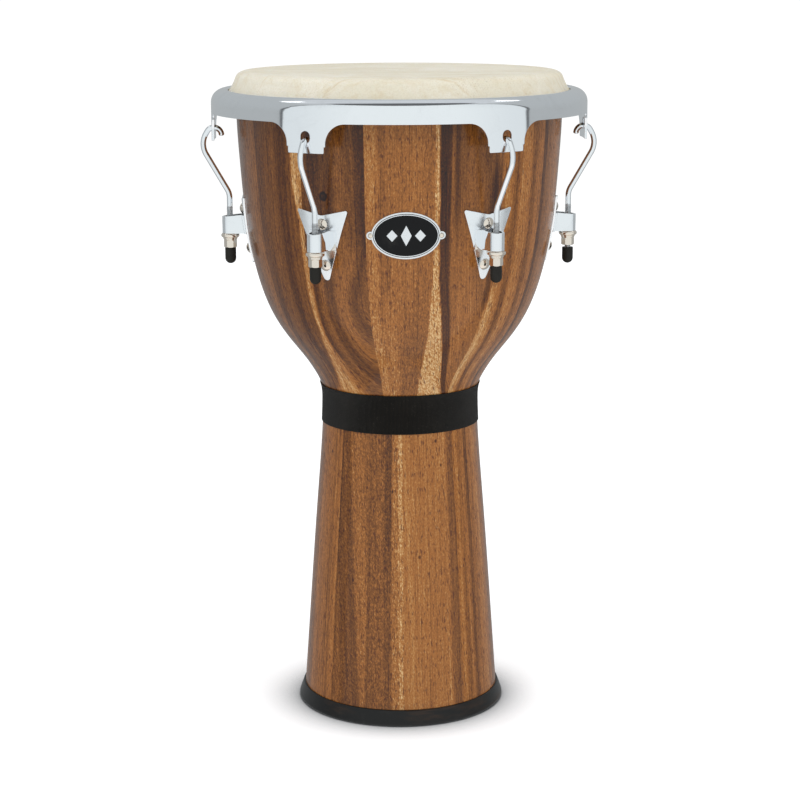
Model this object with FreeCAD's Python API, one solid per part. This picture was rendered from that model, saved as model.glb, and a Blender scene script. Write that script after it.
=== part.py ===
import FreeCAD, Part
import os
from math import atan, cos, pi, radians, sin, tan

from FreeCAD import Vector

# A rim-tuned djembe standing on its foot. Millimetres, +Z up, the origin at the middle of
# the foot ring's underside, and the badge facing -Y. Profiles are (radius, height) pairs that are
# revolved about Z. A lug is drawn at angle 0, with its radial direction along +X, then turned.

# --- Overall ---------------------------------------------------------------------------------------
TOTAL_HEIGHT = 635.0            # 25 inches, floor to playing surface
GLUE_GAP = 0.1                  # between pieces that are glued or pressed together on round faces
SHEET_GAP = 0.03                # between sheet parts that are welded or screwed together

# --- Shell: staves of hardwood, a foot with a spigot and a bowl that sits on it ---------------------
STAVES = 15
STAVE_DEG = 360.0 / STAVES
BOWL_STAVE_START_DEG = -80.2    # a bowl joint lies 9.8 degrees to the right of the badge
FOOT_STAVE_START_DEG = -90.0    # a foot joint lies straight below the badge
WALL = 11.5
SHELL_BOTTOM = 4.0
SHELL_OUTLINE = [
    (98.4, SHELL_BOTTOM),
    (91.5, 101.0),
    (84.0, 202.0),
    (77.9, 283.0),
    (76.9, 310.0),
    (78.3, 326.0),
    (83.8, 338.2),
    (93.6, 353.3),
    (109.4, 373.5),
    (123.0, 393.7),
    (132.5, 413.9),
    (141.9, 444.2),
    (149.7, 484.6),
    (155.6, 545.2),
    (158.1, 585.5),
    (158.3, 640.0),
]
JOINT_HEIGHT = 302.0            # the shoulder on which the bowl stands
SPIGOT_RADIUS = 72.0
SPIGOT_HEIGHT = 20.0
BEVEL_START = 149.0             # radius at which the bearing edge starts to slope inwards
EDGE_BEVEL = 9.0

# Generous bounds for the blanks and cutters below: past everything, and inside the shell's wall
FAR = 300.0
INSIDE = 95.0
THROUGH = 110.0

# --- Head: one rawhide lapped round a steel flesh hoop ----------------------------------------------
SKIN = 1.5
HEAD_OUTLINE = [
    (147.0, TOTAL_HEIGHT),
    (153.5, 633.95),
    (157.2, 631.5),
    (159.9, 625.8),
    (162.3, 620.9),
    (167.0, 612.6),
]
HOOP_RING_RADIUS = 170.4
HOOP_HEIGHT = 609.7
HOOP_BAR_RADIUS = 4.0
LAP_RADIUS = HOOP_BAR_RADIUS + GLUE_GAP + SKIN

# --- Rim: pressed steel ring with six ears ----------------------------------------------------------
RIM_SHEET = 2.5
RIM_RADIUS = 182.7
RIM_EDGE = 595.4
SHOULDER_RADIUS = 12.6
SHOULDER_HEIGHT = 605.3
SHOULDER_TURN_DEG = 104.0
EAR_FILLET = 18.5
EAR_NECK = 19.9                 # half widths of the ear, at its neck and below its small step
EAR_STEP = 18.5
EAR_STEP_HEIGHT = 574.6
EAR_BOTTOM = 568.6
SLOT_WIDTH = 9.8
SLOT_BOTTOM = 577.0
SLOT_TOP = 588.6

# --- Lugs -------------------------------------------------------------------------------------------
LUGS = 6
FIRST_LUG_DEG = -120.0          # front left; the rest follow counter-clockwise seen from above
LOOSE_CAP_LUG = 3               # the cap on the right-hand lug isn't pushed fully home
LOOSE_CAP_DROP = 2.3

PLATE_SHEET = 2.0
PLATE_TOP = 514.6
PLATE_DIP = 5.4                 # how far the V of the top edge comes down
PLATE_TIP = 447.2
PLATE_HALF_WIDTH = 26.8
PLATE_TIP_ROUND = 3.5
PLATE_HORN_ROUND = 1.5

ROD_AXIS = 166.5                # distance of the straight part of a rod from the drum's axis
BRACKET_SHEET = 2.0
BRACKET_BARREL = 7.65           # outer radius round the rod
BRACKET_SIDE = 9.0              # half width where the sides meet the plate
BRACKET_FLANGE = 13.8           # half width over the flanges
BRACKET_BOTTOM = 477.2
BRACKET_TOP = 493.6
BRACKET_TOP_RISE = 2.6          # the top edge is square to the sloping plate

# Rod: 1/4 inch bar stock with a rolled thread, hooked over the ear
SHANK_RADIUS = 2.75
THREAD_RADIUS = 3.175
THREAD_TOP = 504.5
ROD_END = 450.0
HOOK_CENTRE = (180.6, 572.9)
HOOK_RADIUS = 7.4
HOOK_TIP_DEG = 176.0
LEAN_DEG = 30.0
KNEE_HEIGHT = 516.2
ELBOW_RADIUS = 20.0
KNEE_RADIUS = 16.0
THREAD_CLEARANCE = 0.05

DOME_WASHER_RADIUS = 9.0
DOME_WASHER_HEIGHT = 4.4
FLAT_WASHER_RADIUS = 7.0
FLAT_WASHER_HEIGHT = 1.2
WASHER_BORE = 3.4
NUT_FLATS = 11.11               # across flats
NUT_HEX_HEIGHT = 7.4
NUT_COLLAR_RADIUS = 6.5
NUT_COLLAR_HEIGHT = 1.1
CAP_RADIUS = 5.4
CAP_LENGTH = 15.8
CAP_FLOOR = 2.6
CAP_GAP = 0.2

# Bolts that hold the side plates, with a washer and a nut inside the shell
BOLT_HEIGHTS = (501.3, 462.7)
BOLT_RADIUS = 2.5
BOLT_HEAD_RADIUS = 5.5
BOLT_HEAD_HEIGHT = 3.0
BOLT_HOLE = 2.75
BOLT_LENGTH = 21.0
SEAT_DEPTH = 1.2                # spot face in the shell's inside for the washer
SEAT_RADIUS = 8.6
BOLT_WASHER_RADIUS = 8.0
BOLT_WASHER_HEIGHT = 1.2
BOLT_NUT_FLATS = 9.5
BOLT_NUT_HEIGHT = 4.0

# --- Band, foot ring and badge ----------------------------------------------------------------------
BAND_BOTTOM = 289.3
BAND_TOP = 327.5
BAND_THICKNESS = 0.9
FOOT_RING_HEIGHT = 15.6
FOOT_RING_BOTTOM_RADIUS = 104.9
FOOT_RING_TOP_RADIUS = 99.4
FOOT_RING_BORE = 84.0
FOOT_RING_LOW_ROUND = 3.0
FOOT_RING_HIGH_ROUND = 0.9

BADGE_HEIGHT = 492.2            # of the badge's centre
BADGE_HALF_WIDTH = 32.0
BADGE_HALF_HEIGHT = 21.9
BADGE_SHEET = 0.8
BADGE_BORDER = 2.9
BADGE_LINE = (1.5, 2.1)         # a fine enamelled line in the border, from the badge's edge
BADGE_RELIEF = 0.4              # how far the border and the motif stand up
ENAMEL = 0.25
MOTIF_HALF_HEIGHTS = (5.5, 9.5, 5.5)
MOTIF_HALF_WIDTH = 5.0
MOTIF_PITCH = 13.0
PIN_PITCH = 32.8                # of a badge pin from the badge's centre
PIN_TAB_RADIUS = 3.8
PIN_HEAD_RADIUS = 2.3
PIN_HEAD_HEIGHT = 1.3
PIN_RADIUS = 0.8
PIN_LENGTH = 9.0

ORIGIN = Vector(0, 0, 0)
UP = Vector(0, 0, 1)


# --- Helpers ----------------------------------------------------------------------------------------
def flat(r, z):
    """A point of a profile."""
    return Vector(r, 0, z)


def spline(points):
    curve = Part.BSplineCurve()
    curve.interpolate(points)
    return curve


def offset_points(curve, distance, count=48):
    """Points at one distance from a profile that runs upwards; outwards is positive."""
    points = []
    for i in range(count):
        u = curve.FirstParameter + (curve.LastParameter - curve.FirstParameter) * i / (count - 1)
        along = curve.tangent(u)[0]
        points.append(curve.value(u) + Vector(along.z, 0, -along.x) * distance)
    return points


def polygon(points):
    return Part.Face(Part.makePolygon(points + points[:1]))


def rectangle(r0, z0, r1, z1):
    return polygon([flat(r0, z0), flat(r1, z0), flat(r1, z1), flat(r0, z1)])


def revolved(face, degrees=360.0):
    return face.revolve(ORIGIN, UP, degrees)


def turned(shape, degrees):
    copy = shape.copy()
    copy.rotate(ORIGIN, UP, degrees)
    return copy


def rounded_outline(corners, place):
    """A closed wire of straight runs and corner arcs, from (a, b, radius) corners."""
    edges = []
    starts = []
    ends = []
    middles = []
    for i, (a, b, radius) in enumerate(corners):
        here = Vector(a, b, 0)
        before = Vector(*corners[i - 1][:2], 0) - here
        after = Vector(*corners[(i + 1) % len(corners)][:2], 0) - here
        before.normalize()
        after.normalize()
        half = before.getAngle(after) / 2.0
        bisector = before + after
        bisector.normalize()
        reach = radius / tan(half)
        starts.append(here + before * reach)
        ends.append(here + after * reach)
        middles.append(here + bisector * (radius / sin(half) - radius))
    for i, corner in enumerate(corners):
        if corner[2] > 0:
            arc = [place(p.x, p.y) for p in (starts[i], middles[i], ends[i])]
            edges.append(Part.Arc(*arc).toShape())
        run = [place(p.x, p.y) for p in (ends[i], starts[(i + 1) % len(corners)])]
        if run[0].distanceToPoint(run[1]) > 1e-6:
            edges.append(Part.LineSegment(*run).toShape())
    return Part.Wire(Part.__sortEdges__(edges))


def radial_prism(outline):
    """A wire in the plane across a lug's radial direction, carried through the shell's wall."""
    return Part.Face(outline).extrude(Vector(THROUGH, 0, 0))


def across(t, z):
    """A point of an outline that is seen square on from outside a lug."""
    return Vector(INSIDE, t, z)


def cylinder(radius, height, bottom, r=0.0):
    return Part.makeCylinder(radius, height, Vector(r, 0, bottom), UP)


def hexagon(flats, height, base, axis):
    """A hexagonal prism with chamfered corners, standing on base along axis."""
    corner = flats / 2.0 / cos(pi / 6)
    corners = [Vector(corner * cos(i * pi / 3), corner * sin(i * pi / 3), 0) for i in range(7)]
    prism = Part.Face(Part.makePolygon(corners)).extrude(UP * height)
    depth = 0.07 * flats
    low_cone = Part.makeCone(flats / 2.0, corner + 0.2, depth, ORIGIN, UP)
    barrel = Part.makeCylinder(corner + 0.2, height - 2.0 * depth, Vector(0, 0, depth), UP)
    high_cone = Part.makeCone(corner + 0.2, flats / 2.0, depth, Vector(0, 0, height - depth), UP)
    nut = prism.common(low_cone.fuse([barrel, high_cone]).removeSplitter())
    nut.Placement = FreeCAD.Placement(base, FreeCAD.Rotation(UP, axis))
    return nut


def group(solids):
    return Part.makeCompound(solids)


def solids_of(shape):
    return shape.Solids[0] if len(shape.Solids) == 1 else group(shape.Solids)


def save(name, shape):
    solids_of(shape).exportStep(os.path.join("parts", name + ".step"))


# --- Shell profile ----------------------------------------------------------------------------------
shell_curve = spline([flat(r, z) for r, z in SHELL_OUTLINE])
head_curve = Part.BSplineCurve()
head_curve.interpolate(
    [flat(r, z) for r, z in HEAD_OUTLINE], False, 1e-6, Vector(1, 0, 0), Vector(0.5, 0, -0.87)
)


def shell_layer(inner, outer):
    """The section between two distances from the shell's outside."""
    inside = offset_points(shell_curve, inner)
    outside = offset_points(shell_curve, outer)
    edges = [
        spline(inside).toShape(),
        Part.LineSegment(inside[-1], outside[-1]).toShape(),
        spline(outside).toShape(),
        Part.LineSegment(outside[0], inside[0]).toShape(),
    ]
    return Part.Face(Part.Wire(Part.__sortEdges__(edges)))


def shell_at(height):
    """The shell's outside radius and its lean from the vertical, at one height."""
    low, high = shell_curve.FirstParameter, shell_curve.LastParameter
    for _ in range(50):
        middle = (low + high) / 2.0
        if shell_curve.value(middle).z < height:
            low = middle
        else:
            high = middle
    along = shell_curve.tangent(low)[0]
    return shell_curve.value(low).x, atan(along.x / along.z)


def on_shell(shape, height, distance):
    """Stand a shape, drawn with +X pointing out of the shell, on the shell's outside."""
    radius, lean = shell_at(height)
    copy = shape.copy()
    copy.translate(Vector(distance, 0, 0))
    copy.rotate(ORIGIN, Vector(0, 1, 0), lean * 180.0 / pi)
    copy.translate(flat(radius, height))
    return copy


def head_inside(gap):
    """Points along the skin's underside, from the axis outwards, that much below it."""
    drop = -(SKIN + gap)
    points = []
    for i in range(24):
        share = i / 23.0
        u = head_curve.FirstParameter + (head_curve.LastParameter - head_curve.FirstParameter) * share
        along = head_curve.tangent(u)[0]
        points.append(head_curve.value(u) + Vector(-along.z, 0, along.x) * drop)
    return points


# --- Wooden shell -----------------------------------------------------------------------------------
def bolt_cutters():
    """The bolt holes and spot faces of all the lugs."""
    hole = Part.makeCylinder(BOLT_HOLE, 30.0, Vector(-25, 0, 0), Vector(1, 0, 0))
    seat = Part.makeCylinder(SEAT_RADIUS, 12.0, Vector(-12 - WALL + SEAT_DEPTH, 0, 0), Vector(1, 0, 0))
    one_lug = [on_shell(hole.fuse(seat), height, 0.0) for height in BOLT_HEIGHTS]
    return [turned(tool, angle) for angle in lug_angles for tool in one_lug]


def bowl_section():
    wall = shell_layer(-WALL, 0.0)
    skin_underside = head_inside(GLUE_GAP)
    above = TOTAL_HEIGHT + SHELL_BOTTOM + EDGE_BEVEL
    over_wall = [flat(0, skin_underside[0].z)] + skin_underside
    over_wall += [flat(FAR, skin_underside[-1].z), flat(FAR, above), flat(0, above)]
    bevel_top = skin_underside[0].z + 0.5
    bevel = polygon([
        flat(BEVEL_START, bevel_top),
        flat(BEVEL_START - EDGE_BEVEL, bevel_top),
        flat(BEVEL_START - EDGE_BEVEL, bevel_top - EDGE_BEVEL),
    ])
    wall = wall.cut(polygon(over_wall)).cut(bevel)
    wall = wall.cut(rectangle(0, 0, FAR, JOINT_HEIGHT))
    spigot_room = rectangle(
        0, JOINT_HEIGHT, SPIGOT_RADIUS + GLUE_GAP, JOINT_HEIGHT + SPIGOT_HEIGHT + GLUE_GAP
    )
    return wall.cut(spigot_room)


def foot_section():
    wall = shell_layer(-WALL, 0.0)
    spigot_top = JOINT_HEIGHT + SPIGOT_HEIGHT
    wall = wall.common(rectangle(0, SHELL_BOTTOM, FAR, spigot_top))
    return wall.cut(rectangle(SPIGOT_RADIUS, JOINT_HEIGHT, FAR, spigot_top + 1.0))


def staves(section, start, cutters):
    """One solid per stave, each with the holes that fall in it."""
    solids = []
    for i in range(STAVES):
        stave = revolved(turned(section, start + i * STAVE_DEG), STAVE_DEG)
        for tool in cutters:
            if stave.BoundBox.intersect(tool.BoundBox) and stave.common(tool).Volume > 1e-3:
                stave = stave.cut(tool)
        solids.append(stave.Solids[0])
    return group(solids)


# --- Head, hoop and rim -----------------------------------------------------------------------------
def drumhead():
    inside = head_inside(0.0)
    top = [flat(0, TOTAL_HEIGHT), flat(*HEAD_OUTLINE[0])]
    edges = [
        Part.LineSegment(*top).toShape(),
        head_curve.toShape(),
        Part.LineSegment(flat(*HEAD_OUTLINE[-1]), inside[-1]).toShape(),
        spline(inside).toShape(),
        Part.LineSegment(inside[0], flat(0, inside[0].z)).toShape(),
        Part.LineSegment(flat(0, inside[0].z), top[0]).toShape(),
    ]
    skin = revolved(Part.Face(Part.Wire(Part.__sortEdges__(edges))))
    lap = Part.makeTorus(HOOP_RING_RADIUS, LAP_RADIUS, flat(0, HOOP_HEIGHT))
    room = Part.makeTorus(HOOP_RING_RADIUS, HOOP_BAR_RADIUS + GLUE_GAP, flat(0, HOOP_HEIGHT))
    return skin.fuse(lap).cut(room).removeSplitter()


def rim():
    centre_r = RIM_RADIUS - SHOULDER_RADIUS
    inner = SHOULDER_RADIUS - RIM_SHEET

    def on_arc(radius, degrees):
        angle = radians(degrees)
        return flat(centre_r + radius * cos(angle), SHOULDER_HEIGHT + radius * sin(angle))

    turn = SHOULDER_TURN_DEG
    lip_middle = on_arc(SHOULDER_RADIUS - RIM_SHEET / 2, turn + 6.0)
    edges = [
        Part.LineSegment(flat(RIM_RADIUS, RIM_EDGE), on_arc(SHOULDER_RADIUS, 0)).toShape(),
        Part.Arc(*[on_arc(SHOULDER_RADIUS, a) for a in (0, turn / 2, turn)]).toShape(),
        Part.Arc(on_arc(SHOULDER_RADIUS, turn), lip_middle, on_arc(inner, turn)).toShape(),
        Part.Arc(*[on_arc(inner, a) for a in (turn, turn / 2, 0)]).toShape(),
        Part.LineSegment(on_arc(inner, 0), flat(RIM_RADIUS - RIM_SHEET, RIM_EDGE)).toShape(),
        Part.LineSegment(flat(RIM_RADIUS - RIM_SHEET, RIM_EDGE), flat(RIM_RADIUS, RIM_EDGE)).toShape(),
    ]
    ring = revolved(Part.Face(Part.Wire(Part.__sortEdges__(edges))))

    ear_reach = 3.0             # the ears' blanks run this far up into the ring's wall
    blank_half = EAR_NECK + EAR_FILLET + 3.0
    right = [
        (blank_half, RIM_EDGE + ear_reach, 0.0),
        (blank_half, RIM_EDGE, 0.0),
        (EAR_NECK, RIM_EDGE, EAR_FILLET),
        (EAR_NECK, EAR_STEP_HEIGHT, 0.4),
        (EAR_STEP, EAR_STEP_HEIGHT, 0.4),
        (EAR_STEP, EAR_BOTTOM, 1.2),
    ]
    left = [(-t, z, radius) for t, z, radius in reversed(right)]
    ear_prism = radial_prism(rounded_outline(right + left, across))
    slot_round = SLOT_WIDTH / 2.0 - 0.01
    slot = radial_prism(rounded_outline([
        (SLOT_WIDTH / 2.0, SLOT_BOTTOM, slot_round),
        (SLOT_WIDTH / 2.0, SLOT_TOP, slot_round),
        (-SLOT_WIDTH / 2.0, SLOT_TOP, slot_round),
        (-SLOT_WIDTH / 2.0, SLOT_BOTTOM, slot_round),
    ], across))
    sheet = revolved(rectangle(RIM_RADIUS - RIM_SHEET, EAR_BOTTOM - 1.0, RIM_RADIUS, SHOULDER_HEIGHT))
    ear = sheet.common(ear_prism)
    for angle in lug_angles:
        ring = ring.fuse(turned(ear, angle))
    for angle in lug_angles:
        ring = ring.cut(turned(slot, angle))
    return ring.removeSplitter()


# --- Lug pieces, drawn at angle 0 -------------------------------------------------------------------
def side_plate():
    half = PLATE_HALF_WIDTH
    flare = atan(half / (PLATE_TOP - PLATE_TIP))
    point = PLATE_TIP - PLATE_TIP_ROUND * (1.0 / sin(flare) - 1.0)
    outline = rounded_outline([
        (0.0, point, PLATE_TIP_ROUND),
        (half, PLATE_TOP + 0.5, PLATE_HORN_ROUND),
        (0.0, PLATE_TOP - PLATE_DIP, 8.0),
        (-half, PLATE_TOP + 0.5, PLATE_HORN_ROUND),
    ], across)
    sheet = revolved(shell_layer(SHEET_GAP, SHEET_GAP + PLATE_SHEET).common(
        rectangle(0, PLATE_TIP - PLATE_TIP_ROUND, FAR, PLATE_TOP + PLATE_HORN_ROUND)))
    plate = sheet.common(radial_prism(outline))
    hole = Part.makeCylinder(BOLT_HOLE, 20.0, Vector(-10, 0, 0), Vector(1, 0, 0))
    for height in BOLT_HEIGHTS:
        plate = plate.cut(on_shell(hole, height, 0.0))
    return plate


def rod_bracket():
    foot = SHEET_GAP * 2 + PLATE_SHEET
    height = BRACKET_TOP + BRACKET_TOP_RISE - BRACKET_BOTTOM + 2.0
    back = shell_at(BRACKET_BOTTOM)[0] - WALL

    def strap(barrel, side):
        corners = [(back, -side), (ROD_AXIS, -barrel), (ROD_AXIS, barrel), (back, side)]
        trunk = polygon([Vector(r, t, BRACKET_BOTTOM) for r, t in corners]).extrude(UP * height)
        return trunk.fuse(cylinder(barrel, height, BRACKET_BOTTOM, ROD_AXIS))

    inner_barrel = BRACKET_BARREL - BRACKET_SHEET
    outer = strap(BRACKET_BARREL, BRACKET_SIDE)
    inner = strap(inner_barrel, BRACKET_SIDE - BRACKET_SHEET)
    flange = revolved(shell_layer(foot, foot + BRACKET_SHEET).common(
        rectangle(0, BRACKET_BOTTOM, FAR, BRACKET_BOTTOM + height)))
    flange = flange.common(Part.makeBox(THROUGH, 2 * BRACKET_FLANGE, height,
                                        Vector(INSIDE, -BRACKET_FLANGE, BRACKET_BOTTOM)))
    behind = revolved(shell_layer(-2.0 * WALL, foot).common(
        rectangle(0, BRACKET_BOTTOM - WALL, FAR, BRACKET_BOTTOM + height + WALL)))
    bracket = outer.fuse(flange).cut(inner).cut(behind)
    front = ROD_AXIS + BRACKET_BARREL
    slope = polygon([
        flat(back, BRACKET_BOTTOM),
        flat(front, BRACKET_BOTTOM),
        flat(front, BRACKET_TOP),
        flat(back + WALL, BRACKET_TOP + BRACKET_TOP_RISE),
        flat(back, BRACKET_TOP + BRACKET_TOP_RISE),
    ]).extrude(Vector(0, 2.0 * BRACKET_FLANGE, 0))
    slope.translate(Vector(0, -BRACKET_FLANGE, 0))
    pieces = bracket.common(slope).removeSplitter().Solids
    return max(pieces, key=lambda piece: piece.Volume)


def rod_leg(start, end):
    return Part.makeCylinder(SHANK_RADIUS, start.distanceToPoint(end), start, end - start)


def rod_bend(centre, start, degrees):
    """A bent length of bar: its middle line turns about centre in the upright radial plane."""
    along = (start - centre).cross(Vector(0, -1, 0))
    disc = Part.Face(Part.Wire(Part.makeCircle(SHANK_RADIUS, start, along)))
    return disc.revolve(centre, Vector(0, -1, 0), degrees)


def tension_rod():
    lean = radians(LEAN_DEG)
    out_down = Vector(sin(lean), 0, -cos(lean))
    up_out = Vector(sin(lean), 0, cos(lean))
    hook = flat(*HOOK_CENTRE)
    hook_out = hook + Vector(cos(lean), 0, sin(lean)) * HOOK_RADIUS
    knee = flat(ROD_AXIS, KNEE_HEIGHT)
    rise = (hook_out.z - knee.z) / cos(lean)
    spread = (hook_out.x - knee.x) / sin(lean)
    elbow = hook_out + out_down * ((rise - spread) / 2.0)
    elbow_reach = ELBOW_RADIUS * tan(lean)
    knee_reach = KNEE_RADIUS * tan(lean / 2.0)
    elbow_in = elbow - out_down * elbow_reach
    elbow_out = elbow - up_out * elbow_reach
    knee_in = knee + up_out * knee_reach
    knee_out = knee - UP * knee_reach
    elbow_centre = elbow_in - Vector(cos(lean), 0, sin(lean)) * ELBOW_RADIUS
    knee_centre = knee_out + Vector(KNEE_RADIUS, 0, 0)
    pieces = [
        rod_bend(hook, hook_out, HOOK_TIP_DEG - LEAN_DEG),
        rod_leg(hook_out, elbow_in),
        rod_bend(elbow_centre, elbow_out, 2.0 * LEAN_DEG),
        rod_leg(elbow_out, knee_in),
        rod_bend(knee_centre, knee_out, -LEAN_DEG),
        rod_leg(knee_out, flat(ROD_AXIS, THREAD_TOP)),
    ]
    thread = cylinder(THREAD_RADIUS, THREAD_TOP - ROD_END, ROD_END, ROD_AXIS)
    thread = thread.makeChamfer(0.6, [edge for edge in thread.Edges if edge.Closed])
    return pieces[0].fuse(pieces[1:] + [thread]).removeSplitter()


def bored(shape, radius, bottom, height):
    return shape.cut(cylinder(radius, height + 2.0, bottom - 1.0, ROD_AXIS))


def dome_washer():
    bottom = BRACKET_BOTTOM - DOME_WASHER_HEIGHT
    disc = cylinder(DOME_WASHER_RADIUS, DOME_WASHER_HEIGHT, bottom, ROD_AXIS)
    disc = disc.makeFillet(DOME_WASHER_HEIGHT / 2.0 - 0.05, [edge for edge in disc.Edges if edge.Closed])
    return bored(disc, WASHER_BORE, bottom, DOME_WASHER_HEIGHT)


def flat_washer():
    bottom = BRACKET_BOTTOM - DOME_WASHER_HEIGHT - FLAT_WASHER_HEIGHT
    disc = cylinder(FLAT_WASHER_RADIUS, FLAT_WASHER_HEIGHT, bottom, ROD_AXIS)
    return bored(disc, WASHER_BORE, bottom, FLAT_WASHER_HEIGHT)


def tuning_nut():
    top = BRACKET_BOTTOM - DOME_WASHER_HEIGHT - FLAT_WASHER_HEIGHT
    bottom = top - NUT_COLLAR_HEIGHT - NUT_HEX_HEIGHT
    collar = cylinder(NUT_COLLAR_RADIUS, NUT_COLLAR_HEIGHT, top - NUT_COLLAR_HEIGHT, ROD_AXIS)
    body = hexagon(NUT_FLATS, NUT_HEX_HEIGHT, flat(ROD_AXIS, bottom), UP)
    return bored(body.fuse(collar).removeSplitter(), THREAD_RADIUS + THREAD_CLEARANCE, bottom, 10.0)


def rod_cap(drop):
    top = (BRACKET_BOTTOM - DOME_WASHER_HEIGHT - FLAT_WASHER_HEIGHT - NUT_COLLAR_HEIGHT
           - NUT_HEX_HEIGHT - CAP_GAP - drop)
    ball = top - CAP_LENGTH + CAP_RADIUS
    body = cylinder(CAP_RADIUS, top - ball, ball, ROD_AXIS)
    body = body.fuse(Part.makeSphere(CAP_RADIUS, flat(ROD_AXIS, ball))).removeSplitter()
    depth = CAP_LENGTH - CAP_FLOOR
    return body.cut(cylinder(THREAD_RADIUS + THREAD_CLEARANCE, depth, top - depth, ROD_AXIS))


def plate_bolt():
    """Round head outside, drawn with +X out of the shell and its head's underside at x = 0."""
    sphere_radius = (BOLT_HEAD_RADIUS ** 2 + BOLT_HEAD_HEIGHT ** 2) / (2.0 * BOLT_HEAD_HEIGHT)
    ball = Part.makeSphere(sphere_radius, Vector(BOLT_HEAD_HEIGHT - sphere_radius, 0, 0))
    head = ball.common(Part.makeBox(20, 40, 40, Vector(0, -20, -20)))
    shank = Part.makeCylinder(BOLT_RADIUS, BOLT_LENGTH, Vector(-BOLT_LENGTH, 0, 0), Vector(1, 0, 0))
    return head.fuse(shank).removeSplitter()


def bolt_washer():
    seat = -WALL + SEAT_DEPTH
    disc = Part.makeCylinder(
        BOLT_WASHER_RADIUS, BOLT_WASHER_HEIGHT, Vector(seat - BOLT_WASHER_HEIGHT, 0, 0), Vector(1, 0, 0)
    )
    return disc.cut(Part.makeCylinder(BOLT_HOLE, 30, Vector(-30, 0, 0), Vector(1, 0, 0)))


def bolt_nut():
    face = -WALL + SEAT_DEPTH - BOLT_WASHER_HEIGHT
    body = hexagon(BOLT_NUT_FLATS, BOLT_NUT_HEIGHT, Vector(face, 0, 0), Vector(-1, 0, 0))
    bore = BOLT_RADIUS + THREAD_CLEARANCE
    return body.cut(Part.makeCylinder(bore, 30, Vector(-30, 0, 0), Vector(1, 0, 0)))


def all_lugs(pieces):
    return group([turned(piece, angle) for angle in lug_angles for piece in pieces])


# --- Band, foot ring and badge ----------------------------------------------------------------------
def waist_band():
    layer = shell_layer(GLUE_GAP, GLUE_GAP + BAND_THICKNESS)
    return revolved(layer.common(rectangle(0, BAND_BOTTOM, FAR, BAND_TOP)))


def foot_ring():
    section = polygon([
        flat(FOOT_RING_BORE, 0),
        flat(FOOT_RING_BOTTOM_RADIUS, 0),
        flat(FOOT_RING_TOP_RADIUS, FOOT_RING_HEIGHT),
        flat(FOOT_RING_BORE, FOOT_RING_HEIGHT),
    ])
    over = 2.0 * FOOT_RING_HEIGHT
    inside = shell_layer(-2.0 * WALL, GLUE_GAP).common(rectangle(0, SHELL_BOTTOM, FAR, over))
    hollow = rectangle(0, SHELL_BOTTOM, FOOT_RING_BORE + 5.0, over)
    ring = revolved(section.cut(inside).cut(hollow))
    for height, rounding in ((0, FOOT_RING_LOW_ROUND), (FOOT_RING_HEIGHT, FOOT_RING_HIGH_ROUND)):
        edges = [edge for edge in ring.Edges if edge.Closed and edge.BoundBox.ZLength < 0.01
                 and abs(edge.BoundBox.ZMax - height) < 0.01]
        widest = max(edges, key=lambda edge: edge.Length)
        ring = ring.makeFillet(rounding, [widest])
    return ring


def oval_prism(inset):
    a = BADGE_HALF_WIDTH - inset
    b = BADGE_HALF_HEIGHT - inset
    oval = Part.Ellipse(ORIGIN, a, b)
    face = Part.Face(Part.Wire(oval.toShape()))
    turn = FreeCAD.Rotation(Vector(0, 1, 0), Vector(0, 0, 1), Vector(1, 0, 0), "XYZ")
    face.Placement = FreeCAD.Placement(Vector(INSIDE, 0, BADGE_HEIGHT), turn)
    return face.extrude(Vector(THROUGH, 0, 0))


def motif_prisms():
    """Three plain diamonds in a row."""
    prisms = []
    for i, half_height in enumerate(MOTIF_HALF_HEIGHTS):
        t = (i - 1) * MOTIF_PITCH
        corners = [(t, BADGE_HEIGHT - half_height), (t + MOTIF_HALF_WIDTH, BADGE_HEIGHT),
                   (t, BADGE_HEIGHT + half_height), (t - MOTIF_HALF_WIDTH, BADGE_HEIGHT)]
        prisms.append(polygon([across(*c) for c in corners]).extrude(Vector(THROUGH, 0, 0)))
    return prisms


def pin_axes():
    """The places of the two badge pins: their angle from the badge's middle."""
    radius = shell_at(BADGE_HEIGHT)[0]
    return [side * PIN_PITCH / radius * 180.0 / pi for side in (-1, 1)]


def badge_layer(inner, outer):
    low = BADGE_HEIGHT - BADGE_HALF_HEIGHT - 5.0
    high = BADGE_HEIGHT + BADGE_HALF_HEIGHT + 5.0
    return revolved(shell_layer(inner, outer).common(rectangle(0, low, FAR, high)))


def badge_pieces():
    base = SHEET_GAP + BADGE_SHEET
    tab = Part.makeCylinder(PIN_TAB_RADIUS, 20, Vector(-10, 0, 0), Vector(1, 0, 0))
    blank = oval_prism(0.0)
    for angle in pin_axes():
        blank = blank.fuse(turned(on_shell(tab, BADGE_HEIGHT, 0.0), angle))
    plate = badge_layer(SHEET_GAP, base).common(blank)
    relief = badge_layer(base - 0.1, base + BADGE_RELIEF)
    line_out, line_in = BADGE_LINE
    for outside, inside in ((0.0, line_out), (line_in, BADGE_BORDER)):
        plate = plate.fuse(relief.common(oval_prism(outside).cut(oval_prism(inside))))
    for prism in motif_prisms():
        plate = plate.fuse(relief.common(prism))
    hole = Part.makeCylinder(PIN_RADIUS + 0.05, 20, Vector(-10, 0, 0), Vector(1, 0, 0))
    for angle in pin_axes():
        plate = plate.cut(turned(on_shell(hole, BADGE_HEIGHT, 0.0), angle))
    layer = badge_layer(base + 0.01, base + ENAMEL)
    enamel = layer.common(oval_prism(BADGE_BORDER + 0.02))
    for prism in motif_prisms():
        enamel = enamel.cut(prism)
    fine_line = layer.common(oval_prism(line_out + 0.02).cut(oval_prism(line_in - 0.02)))
    enamel = group(enamel.Solids + fine_line.Solids)
    return plate.removeSplitter(), enamel


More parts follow.
